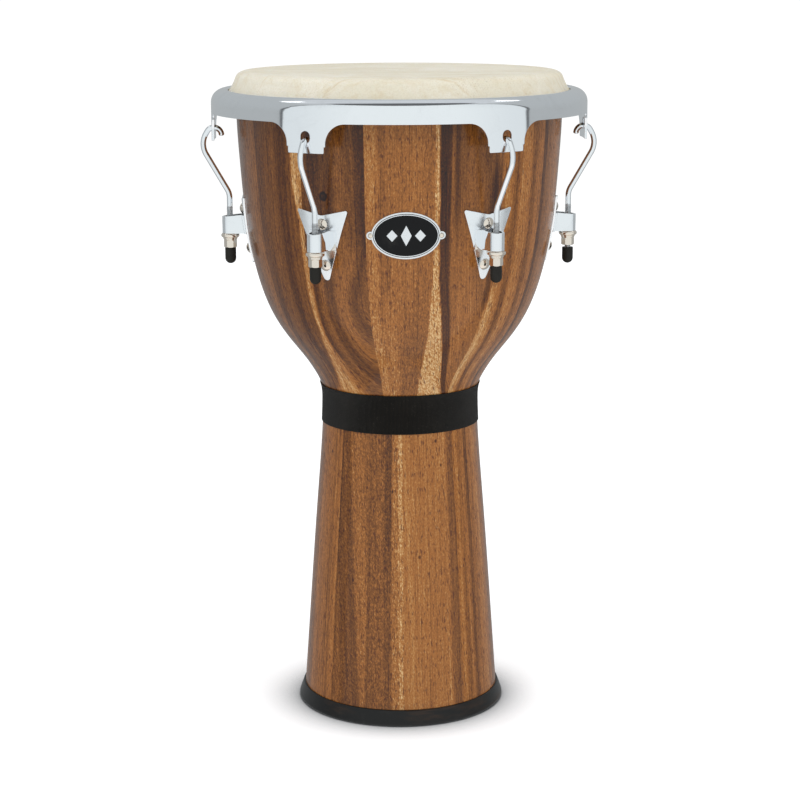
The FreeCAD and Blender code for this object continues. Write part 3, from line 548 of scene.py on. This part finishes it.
def wood_material(name):
    """Lacquered figured hardwood: streaks, pores and figure along each stave's own grain."""
    material, g = new_graph(name)
    grain = g.attribute("grain", 1)
    tone, figure, inside = g.split(g.attribute("look", 1))
    broad = g.noise(g.scaled(grain, 95.0, 2.4, 1.0), detail=3.0, roughness=0.55, distortion=0.3)
    medium = g.noise(g.scaled(grain, 430.0, 8.0, 1.0), detail=2.0, roughness=0.6, distortion=0.4)
    fine = g.noise(g.scaled(grain, 900.0, 34.0, 1.0), detail=2.0, roughness=0.65)
    mottle = g.noise(g.scaled(grain, 640.0, 330.0, 1.0), detail=2.0, roughness=0.7, distortion=0.8)
    gx, gz, stave = g.split(grain)
    slope = g.math("MULTIPLY_ADD", gx, 560.0, g.math("MULTIPLY", gz, 200.0))
    slanted = g.node("ShaderNodeCombineXYZ", X=slope, Y=g.math("MULTIPLY", gz, 230.0), Z=stave)
    ripple = g.noise(slanted, detail=2.0, roughness=0.6, distortion=1.0)
    grit = g.noise(g.scaled(grain, 850.0, 420.0, 1.0), detail=1.0, roughness=0.6)
    pores = g.step(g.noise(g.scaled(grain, 820.0, 130.0, 1.0), detail=1.0), 0.61, 0.66)
    lines = g.step(g.noise(g.scaled(grain, 620.0, 5.0, 1.0), detail=1.0), 0.60, 0.72)
    plain = g.step(figure, 0.04, 0.18, 1.0, 0.25)
    streaks = g.math("ADD", g.centred(broad, 0.12), g.centred(medium, 0.14))
    total = g.math("MULTIPLY_ADD", streaks, plain, tone)
    total = g.math("ADD", total, g.centred(fine, 0.17))
    total = g.math("ADD", total, g.centred(grit, 0.20))
    both = g.math("ADD", g.centred(mottle, 1.5), g.centred(ripple, 1.3))
    total = g.math("ADD", total, g.math("MULTIPLY", both, figure))
    total = g.math("MULTIPLY_ADD", lines, -0.13, total)
    total = g.math("MULTIPLY_ADD", knot_shade(g), -0.42, total)
    colour = g.ramp(total, WOOD_TONES)
    pored = g.mix(g.math("MULTIPLY", pores, 0.62), colour, seen(76, 46, 30))
    raw = g.mix(inside, pored, g.mix(0.45, pored, seen(196, 158, 112)))
    rough = g.math("MULTIPLY_ADD", pores, 0.12, 0.38)
    height = g.math("SUBTRACT", g.math("MULTIPLY", medium, 0.2), pores)
    g.principled(
        Base_Color=raw, Roughness=rough, Normal=g.bump(height, 0.00006), Specular_IOR_Level=0.2,
        Coat_Weight=g.math("MULTIPLY_ADD", inside, -0.42, 0.42), Coat_Roughness=0.14)
    return material


def make_shell():
    above = shell_curve[:, 1] >= JOINT_HEIGHT
    bowl_outer = shell_curve[above]
    under_skin = offset_curve(smooth_curve(HEAD_OUTLINE, 40)[::-1], -(SKIN + SKIN_GAP))[::-1]
    bowl_outer = resample(bowl_outer[bowl_outer[:, 1] < EDGE_START], BOWL_OUTER_ROWS)
    on_edge = (under_skin[:, 1] > EDGE_START + 0.5) & (under_skin[:, 0] < EDGE_RADIUS)
    edge = under_skin[on_edge][::-1][::3]
    inner = resample(offset_curve(shell_curve, -WALL)[above], BOWL_INNER_ROWS)[::-1]
    inner = inner[(inner[:, 1] < BEVEL_END) & (inner[:, 1] > JOINT_HEIGHT)]
    bowl_section = np.concatenate([bowl_outer, edge, BEVEL, inner, [(inner[-1][0], JOINT_HEIGHT)]])
    outer_rows = len(bowl_outer) + len(edge)
    bowl = wooden_shell("bowl", bowl_section, outer_rows, BOWL_STAVE_START, BOWL_LOOKS, 0.0)
    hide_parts("bowl_staves")

    below = shell_curve[:, 1] <= JOINT_HEIGHT
    foot_outer = resample(shell_curve[below], FOOT_OUTER_ROWS)
    inner = offset_curve(shell_curve, -WALL)
    inner = inner[(inner[:, 1] < SPIGOT_TOP) & (inner[:, 1] > SHELL_BOTTOM)]
    inner = resample(inner, FOOT_INNER_ROWS)[::-1]
    shoulder = np.array([(SPIGOT_RADIUS, JOINT_HEIGHT), (SPIGOT_RADIUS, SPIGOT_TOP - 1.0),
                         (SPIGOT_RADIUS - 1.0, SPIGOT_TOP)])
    foot_section = np.concatenate([foot_outer, shoulder, inner])
    foot = wooden_shell("foot", foot_section, len(foot_outer), FOOT_STAVE_START, FOOT_LOOKS, 60.0)
    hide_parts("foot_staves")
    for piece in (bowl, foot):
        paint(piece, wood_material(piece.name + "_wood"))
        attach(piece, "shell")


def resample(curve, count):
    steps = np.linalg.norm(np.diff(curve, axis=0), axis=1)
    t = np.concatenate([[0.0], np.cumsum(steps)])
    places = np.linspace(0.0, t[-1], count)
    return np.stack([np.interp(places, t, curve[:, k]) for k in range(2)], axis=1)


# --- Head -------------------------------------------------------------------------------------------
def rawhide_material():
    """Natural hide: cream with cloudy tan streaks, hair specks and a few veins."""
    material, g = new_graph("rawhide")
    point = g.object_point()
    cloud = g.noise(g.scaled(point, 9.0, 14.0, 14.0), detail=5.0, roughness=0.65, distortion=0.6)
    streak = g.noise(g.scaled(point, 6.0, 42.0, 12.0), detail=5.0, roughness=0.7, distortion=1.4)
    blotch = g.noise(point, scale=75.0, detail=4.0, roughness=0.7)
    grain = g.noise(point, scale=700.0, detail=2.0, roughness=0.7)
    follicle = g.node("ShaderNodeTexVoronoi", Vector=point, Scale=640.0)
    patch = g.step(g.noise(point, scale=13.0, detail=2.0), 0.48, 0.64)
    specks = g.math("MULTIPLY", g.step(follicle, 0.10, 0.26, 1.0, 0.0), patch)
    vein_field = g.noise(g.scaled(point, 5.0, 9.0, 9.0), detail=2.0, distortion=0.4)
    vein = g.step(g.math("ABSOLUTE", g.math("SUBTRACT", vein_field, 0.46)), 0.001, 0.006, 1.0, 0.0)
    cream = g.mix(g.step(cloud, 0.35, 0.7), seen(228, 222, 202), seen(240, 236, 222))
    tan = g.mix(g.math("MULTIPLY", g.step(streak, 0.54, 0.74), 0.7), cream, seen(208, 186, 146))
    warm = g.mix(g.math("MULTIPLY", g.step(blotch, 0.48, 0.72), 0.4), tan, seen(220, 205, 172))
    grained = g.mix(g.math("MULTIPLY", g.step(grain, 0.4, 0.75), 0.35), warm, seen(208, 196, 168))
    veined = g.mix(g.math("MULTIPLY", vein, 0.07), grained, seen(190, 166, 124))
    colour = g.mix(g.math("MULTIPLY", specks, 0.6), veined, seen(140, 112, 78))
    height = g.math("ADD", g.math("MULTIPLY", grain, 0.5), g.math("MULTIPLY", cloud, 1.2))
    g.principled(
        Base_Color=colour, Roughness=g.math("MULTIPLY_ADD", grain, 0.15, 0.5),
        Normal=g.bump(height, 0.00035), Specular_IOR_Level=0.35, Subsurface_Weight=0.10,
        Subsurface_Scale=0.002, Subsurface_Radius=(1.0, 0.7, 0.4))
    return material


def make_head():
    """One skin: flat over the bearing edge, down to the hoop, round it and back up inside."""
    flat_end = HEAD_OUTLINE[0][0]
    radii = np.linspace(0.4, flat_end, HEAD_ROWS)
    flat_part = np.stack([radii, np.full(HEAD_ROWS, HEAD_HEIGHT)], axis=1)
    shoulder = smooth_curve([(flat_end - 7.0, HEAD_HEIGHT)] + HEAD_OUTLINE, HEAD_ROWS)
    shoulder = shoulder[shoulder[:, 0] > flat_end + 0.2]
    hoop = (HOOP_RING_RADIUS, HOOP_HEIGHT)
    meet = math.degrees(math.atan2(shoulder[-1][1] - hoop[1], shoulder[-1][0] - hoop[0]))
    lap = arc(hoop, LAP_RADIUS, meet - 14.0, meet - 330.0, LAP_ROWS)
    outside = np.concatenate([flat_part, shoulder])
    inside = offset_curve(outside[::-1], -SKIN)
    inside = inside[(inside[:, 0] > 1.0) & (inside[:, 0] < HOOP_RING_RADIUS - 6.2)]
    section = np.concatenate([outside, lap, inside])[::-1]
    skin, _ = revolve("skin", section, HEAD_COLUMNS)
    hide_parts("drumhead")
    paint(skin, rawhide_material())
    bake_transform(skin)


# --- Metal, rubber and cloth ------------------------------------------------------------------------
def metal_material(name, colour, roughness, rounding=0.0005, grooved=False):
    """Plated metal: slightly uneven gloss, faint waves from pressing, pinhead dust and rounded edges.
    Grooved metal is duller in its thread's grooves, and painted shade darkens them."""
    material, g = new_graph(name)
    point = g.object_point()
    wave = g.noise(point, scale=16.0, detail=1.0)
    smear = g.noise(point, scale=55.0, detail=4.0, roughness=0.65, distortion=0.8)
    speck = g.noise(point, scale=1500.0, detail=0.0)
    rough = g.math("ADD", g.math("MULTIPLY_ADD", smear, roughness * 0.8, roughness * 0.6),
                   g.math("MULTIPLY", g.step(speck, 0.74, 0.82), 0.1))
    rounded = g.node("ShaderNodeBevel", props={"samples": 6}, Radius=rounding)
    normal = g.bump(wave, 0.00005, normal=rounded)
    tint = g.mix(g.step(smear, 0.5, 0.8), colour, tuple(0.95 * c for c in colour[:3]) + (1.0,))
    if grooved:
        # Painted shade: the colour turns dark grey in the thread's grooves.
        groove = g.attribute("groove", 2)
        tint = g.mix(g.math("MULTIPLY", groove, 0.85), tint, (0.22, 0.22, 0.215, 1.0))
        rough = g.math("MULTIPLY_ADD", groove, 0.35, rough)
    g.principled(Base_Color=tint, Metallic=1.0, Roughness=rough, Normal=normal)
    return material


def rubber_material(name, colour, roughness, gloss=0.2, scuff=0.0):
    """Black rubber or enamel with a little dust; scuff rubs it brown in places."""
    material, g = new_graph(name)
    point = g.object_point()
    dust = g.noise(point, scale=45.0, detail=5.0, roughness=0.7)
    grain = g.noise(point, scale=1400.0, detail=1.0)
    rubbed = g.step(g.noise(g.scaled(point, 12.0, 12.0, 60.0), detail=4.0, roughness=0.7), 0.5, 0.75)
    tint = g.mix(g.math("MULTIPLY", g.step(dust, 0.5, 0.8), 0.5), colour, seen(58, 56, 54, veil=0.012))
    worn = g.mix(g.math("MULTIPLY", rubbed, scuff), tint, seen(74, 56, 44, veil=0.012))
    g.principled(
        Base_Color=worn, Roughness=g.math("MULTIPLY_ADD", dust, 0.2, roughness - 0.1),
        Normal=g.bump(grain, 0.00005), Specular_IOR_Level=gloss)
    return material


def webbing_material():
    """Black woven tape: fine upright ribs with cross threads."""
    material, g = new_graph("webbing")
    point = g.object_point()
    x, y, z = g.split(point)
    around = g.math("ARCTAN2", y, x)
    rib = g.math("SINE", g.math("MULTIPLY", around, BAND_RIBS))
    pick = g.math("SINE", g.math("MULTIPLY", z, TAU / (1.3 * MM)))
    weave = g.math("MULTIPLY_ADD", g.math("MULTIPLY", rib, pick), 0.3, rib)
    cloud = g.noise(point, scale=30.0, detail=3.0)
    lint = g.step(g.noise(point, scale=900.0, detail=0.0), 0.72, 0.8)
    colour = g.mix(g.step(cloud, 0.4, 0.75), seen(31, 28, 24, veil=0.006), seen(43, 39, 34, veil=0.006))
    ribbed = g.mix(g.step(weave, -1.0, 1.0), seen(14, 13, 12, veil=0.003), colour)
    linty = g.mix(g.math("MULTIPLY", lint, 0.4), ribbed, seen(78, 75, 70))
    g.principled(
        Base_Color=linty, Roughness=0.7, Normal=g.bump(weave, 0.0003), Sheen_Weight=0.05,
        Sheen_Roughness=0.4, Specular_IOR_Level=0.16)
    return material


# --- Tension rods with a real thread ------------------------------------------------------------------
SHANK_RADIUS = 2.75
THREAD_RADIUS = 3.175
THREAD_DEPTH = 0.62
THREAD_PITCH = 1.27
THREAD_TOP = 504.5
ROD_END = 450.0
HOOK_CENTRE = (180.6, 572.9)
HOOK_RADIUS = 7.4
HOOK_TIP_DEG = 176.0
LEAN_DEG = 30.0
KNEE_HEIGHT = 516.2
ELBOW_RADIUS = 20.0
KNEE_RADIUS = 16.0
DOME_HEIGHT = 1.4               # of the hook's rounded end
DOME_STEPS = (1.4, 1.0, 0.5)    # in radians, from the tip to the full bar


def rod_line():
    """The rod's middle line in its radial plane, from the hook's tip down to the thread."""
    lean = math.radians(LEAN_DEG)
    out_down = np.array([math.sin(lean), -math.cos(lean)])
    out_up = np.array([math.cos(lean), math.sin(lean)])
    hook = np.array(HOOK_CENTRE)
    hook_out = hook + out_up * HOOK_RADIUS
    knee = np.array([LUG_AXIS, KNEE_HEIGHT])
    rise = (hook_out[1] - knee[1]) / math.cos(lean)
    spread = (hook_out[0] - knee[0]) / math.sin(lean)
    elbow = hook_out + out_down * ((rise - spread) / 2.0)
    elbow_in = elbow - out_down * ELBOW_RADIUS * math.tan(lean)
    knee_out = knee - np.array([0.0, KNEE_RADIUS * math.tan(lean / 2.0)])
    elbow_centre = elbow_in - out_up * ELBOW_RADIUS
    knee_centre = knee_out + np.array([KNEE_RADIUS, 0.0])
    return np.concatenate([
        arc(hook, HOOK_RADIUS, HOOK_TIP_DEG, LEAN_DEG, 20),
        arc(elbow_centre, ELBOW_RADIUS, LEAN_DEG, -LEAN_DEG, 16),
        arc(knee_centre, KNEE_RADIUS, 180.0 - LEAN_DEG, 180.0, 10),
        [(LUG_AXIS, THREAD_TOP + 2.0)],
    ])


def make_rod(number, azimuth, material):
    """A swept bar with a domed hook end and a helical thread below."""
    sides = 24
    turn = np.linspace(0.0, TAU, sides, endpoint=False)
    line = rod_line()
    tip_along = line[0] - line[1]
    tip_along /= np.linalg.norm(tip_along)
    domed = [line[0] + tip_along * DOME_HEIGHT * math.sin(a) for a in DOME_STEPS]
    domed_radii = [SHANK_RADIUS * (0.15 + 0.85 * math.cos(a)) for a in DOME_STEPS]
    rows_per_turn = 8
    thread_rows = int((THREAD_TOP - ROD_END) / THREAD_PITCH * rows_per_turn)
    heights = np.linspace(THREAD_TOP, ROD_END, thread_rows)
    centres = np.concatenate([domed, line, np.stack([np.full(thread_rows, LUG_AXIS), heights], axis=1)])
    along = np.gradient(centres, axis=0)
    along /= np.linalg.norm(along, axis=1)[:, None]
    side = np.stack([-along[:, 1], along[:, 0]], axis=1)
    radii = np.full((len(centres), sides), SHANK_RADIUS)
    radii[:len(domed)] = np.array(domed_radii)[:, None]
    phase = (heights[:, None] / THREAD_PITCH + turn[None, :] / TAU) % 1.0
    tooth = 1.0 - np.abs(2.0 * phase - 1.0)
    thread = THREAD_RADIUS - THREAD_DEPTH * np.clip(1.25 * tooth - 0.1, 0.0, 1.0)
    lead = fade(heights, THREAD_TOP - 2.5, THREAD_TOP)[:, None]
    point_end = fade(heights, ROD_END, ROD_END + 1.2)[:, None]
    radii[-thread_rows:] = (thread * (1.0 - lead) + SHANK_RADIUS * lead) * (0.82 + 0.18 * point_end)
    r = centres[:, 0][:, None] + radii * np.cos(turn) * side[:, 0][:, None]
    z = centres[:, 1][:, None] + radii * np.cos(turn) * side[:, 1][:, None]
    t = radii * np.sin(turn)
    a = math.radians(azimuth)
    x = r * math.cos(a) - t * math.sin(a)
    y = r * math.sin(a) + t * math.cos(a)
    points = np.stack([x, y, z], axis=2) * MM
    rows = len(centres)
    faces = grid_faces(rows, sides, False).tolist()
    faces.append(list(range(sides))[::-1])
    faces.append([(rows - 1) * sides + j for j in range(sides)])
    rod = add_mesh(f"rod_{number}", points.reshape(-1, 3), faces)
    # The thread's depth, which the material turns into painted shade in the grooves.
    depth = np.zeros((rows, sides))
    depth[-thread_rows:] = (THREAD_RADIUS - thread) / THREAD_DEPTH * (1.0 - lead)
    rod.data.attributes.new("groove", "FLOAT", "POINT").data.foreach_set("value", depth.ravel())
    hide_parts(f"tension_rod_{number}")
    paint(rod, material)
    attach(rod, "rim")


# --- Floor, light and world ---------------------------------------------------------------------------
def make_stage():
    """A white paper floor with a painted shadow: its colour and faint glow darken where it is shut in
    under the foot ring.
    """
    sides = 96
    turn = np.linspace(0.0, TAU, sides, endpoint=False)
    rim = [(FLOOR_RADIUS * math.cos(a), FLOOR_RADIUS * math.sin(a), 0.0) for a in turn]
    floor = add_mesh("floor", rim, [list(range(sides))])
    material, g = new_graph("floor_paper")
    fleck = g.noise(g.object_point(), scale=3.0)
    # Painted shadow: occlusion near the drum darkens the floor's colour and dims its glow.
    near = g.node("ShaderNodeAmbientOcclusion", out=1, props={"samples": 16},
                  Distance=SHADOW_REACH)
    openness = g.step(near, 0.43, 0.93)
    lift = g.math("MULTIPLY", openness, 0.22)
    paper = g.mix(fleck, (0.93, 0.94, 0.95, 1.0), (0.945, 0.955, 0.965, 1.0))
    g.principled(Base_Color=g.mix(openness, (0.16, 0.165, 0.17, 1.0), paper), Roughness=0.9,
                 Specular_IOR_Level=0.0, Emission_Color=(1.0, 1.0, 1.0, 1.0), Emission_Strength=lift)
    paint(floor, material)
    floor.visible_glossy = False


def make_world():
    """White to the camera and soft white light for surfaces. Gloss sees a bright wall in front with a dark
    edge, a dark gap overhead, light ceiling behind it, two softboxes and a grey room."""
    world = bpy.data.worlds.new("studio")
    bpy.context.scene.world = world
    world.use_nodes = True
    g = Graph(world.node_tree)
    direction = g.node("ShaderNodeTexCoord", out=0)
    x, y, z = g.split(direction)
    middle = math.radians(WALL_AZIMUTH_DEG)
    front = g.math("ADD", g.math("MULTIPLY", x, math.cos(middle)), g.math("MULTIPLY", y, math.sin(middle)))
    length = g.math("SQRT", g.math("ADD", g.math("MULTIPLY", x, x), g.math("MULTIPLY", y, y)))
    cosine = g.math("DIVIDE", front, g.math("MAXIMUM", length, 0.001))
    turn = g.math("MULTIPLY", g.math("ARCCOSINE", cosine), 180.0 / math.pi)
    rise = g.math("MULTIPLY", g.math("ARCSINE", z), 180.0 / math.pi)
    up = g.math("MAXIMUM", rise, 0.0)

    def ellipse(a, b, power):
        whole = g.math("ADD", g.math("POWER", g.math("ABSOLUTE", a), power),
                       g.math("POWER", g.math("ABSOLUTE", b), power))
        return g.math("POWER", whole, 1.0 / power)

    away = ellipse(g.math("DIVIDE", turn, WALL_HALF_DEG), g.math("DIVIDE", up, WALL_TOP_DEG), 6.0)
    wall = g.step(away, 0.985, 1.0, 1.0, 0.0)
    edge = g.step(away, 1.012, 1.035, 1.0, 0.0)
    softbox_away = ellipse(g.math("DIVIDE", g.math("SUBTRACT", turn, SOFTBOX_TURN_DEG), 4.5),
                           g.math("DIVIDE", g.math("SUBTRACT", rise, SOFTBOX_RISE_DEG), 5.0), 2.0)
    softbox = g.step(softbox_away, 0.8, 1.15, 1.0, 0.0)
    room = g.mix(g.step(z, -0.5, 0.5), (0.42, 0.44, 0.445, 1.0), (0.46, 0.485, 0.495, 1.0))
    streak = g.noise(g.scaled(direction, 1.0, 14.0, 14.0), detail=2.0)
    ceiling = g.mix(streak, (0.46, 0.485, 0.50, 1.0), (0.78, 0.81, 0.84, 1.0))
    roof = g.mix(g.step(rise, 46.0, 60.0), room, ceiling)
    overhead = g.math("MULTIPLY", g.step(rise, 60.0, 63.0), g.step(front, 0.02, 0.10))
    dark = g.math("MAXIMUM", edge, overhead)
    edged = g.mix(dark, roof, (0.13, 0.135, 0.14, 1.0))
    white = g.mix(g.step(turn, 25.0, 76.0), (0.85, 0.895, 0.90, 1.0), (0.75, 0.795, 0.81, 1.0))
    below = g.mix(g.step(rise, -38.0, -22.0, 1.0, 0.0), white, (1.0, 1.0, 0.99, 1.0))
    gloss = g.mix(softbox, g.mix(wall, edged, below), (3.0, 3.0, 3.0, 1.0))
    paths = g.tree.nodes.new("ShaderNodeLightPath")
    soft = g.mix(g.step(z, -0.2, 1.0), (0.92, 0.92, 0.92, 1.0), (1.06, 1.06, 1.07, 1.0))
    lit = g.mix(paths.outputs["Is Glossy Ray"], soft, gloss)
    shown = g.mix(paths.outputs["Is Camera Ray"], lit, (1.05, 1.05, 1.05, 1.0))
    background = g.node("ShaderNodeBackground", Color=shown, Strength=1.0)
    output = g.tree.nodes.new("ShaderNodeOutputWorld")
    g.tree.links.new(background, output.inputs["Surface"])


def add_area(name, place, power):
    """A round lamp that lights surfaces but doesn't show in gloss, aimed at the drum's middle."""
    data = bpy.data.lights.new(name, "AREA")
    data.shape = "DISK"
    data.size = LAMP_SIZE
    data.energy = power
    lamp = bpy.data.objects.new(name, data)
    lamp.location = place
    lamp.rotation_euler = (Vector(place) - Vector(LAMP_TARGET)).to_track_quat("Z", "Y").to_euler()
    lamp.visible_glossy = False
    bpy.context.scene.collection.objects.link(lamp)


# --- Build --------------------------------------------------------------------------------------------
add_camera()
bpy.context.scene.view_settings.view_transform = "Standard"
make_stage()
make_world()
add_area("key", (-1.2, -1.8, 2.2), 8.0)
add_area("fill", (1.6, -1.4, 1.8), 5.0)

make_shell()
make_head()

chrome = metal_material("chrome", (0.90, 0.92, 0.945, 1.0), 0.06, 0.0007)
rod_chrome = metal_material("rod_chrome", (0.90, 0.92, 0.945, 1.0), 0.08, 0.0002, grooved=True)
plate_chrome = metal_material("plate_chrome", (0.95, 0.97, 0.995, 1.0), 0.20, 0.0007)
nickel = metal_material("nickel", (0.86, 0.775, 0.68, 1.0), 0.13, 0.0004)
zinc = metal_material("zinc", (0.62, 0.64, 0.66, 1.0), 0.3)
badge_metal = metal_material("badge_metal", (0.86, 0.87, 0.89, 1.0), 0.2, 0.0002)
cap_rubber = rubber_material("cap_rubber", seen(43, 42, 39, veil=0.01), 0.55)
ring_rubber = rubber_material("ring_rubber", seen(29, 29, 29, veil=0.006), 0.38, 0.30, 0.5)
enamel = rubber_material("enamel", seen(30, 30, 31, veil=0.01), 0.25)

for number, azimuth in enumerate(LUGS, 1):
    make_rod(number, azimuth, rod_chrome)
    repaint(f"side_plate_{number}", plate_chrome)
    repaint(f"rod_bracket_{number}", chrome)
    for node in (f"tuning_nut_{number}", f"dome_washer_{number}"):
        repaint(node, nickel)
    repaint(f"rod_cap_{number}", cap_rubber)
repaint("rim", chrome)
repaint("flesh_hoop", zinc)
repaint("waist_band", webbing_material())
repaint("foot_ring", ring_rubber)
repaint("flat_washers", nickel)
repaint("plate_bolts", nickel)
repaint("plate_bolt_washers", zinc)
repaint("plate_bolt_nuts", zinc)
repaint("badge_plate", badge_metal)
repaint("badge_enamel", enamel)
repaint("badge_pins", nickel)
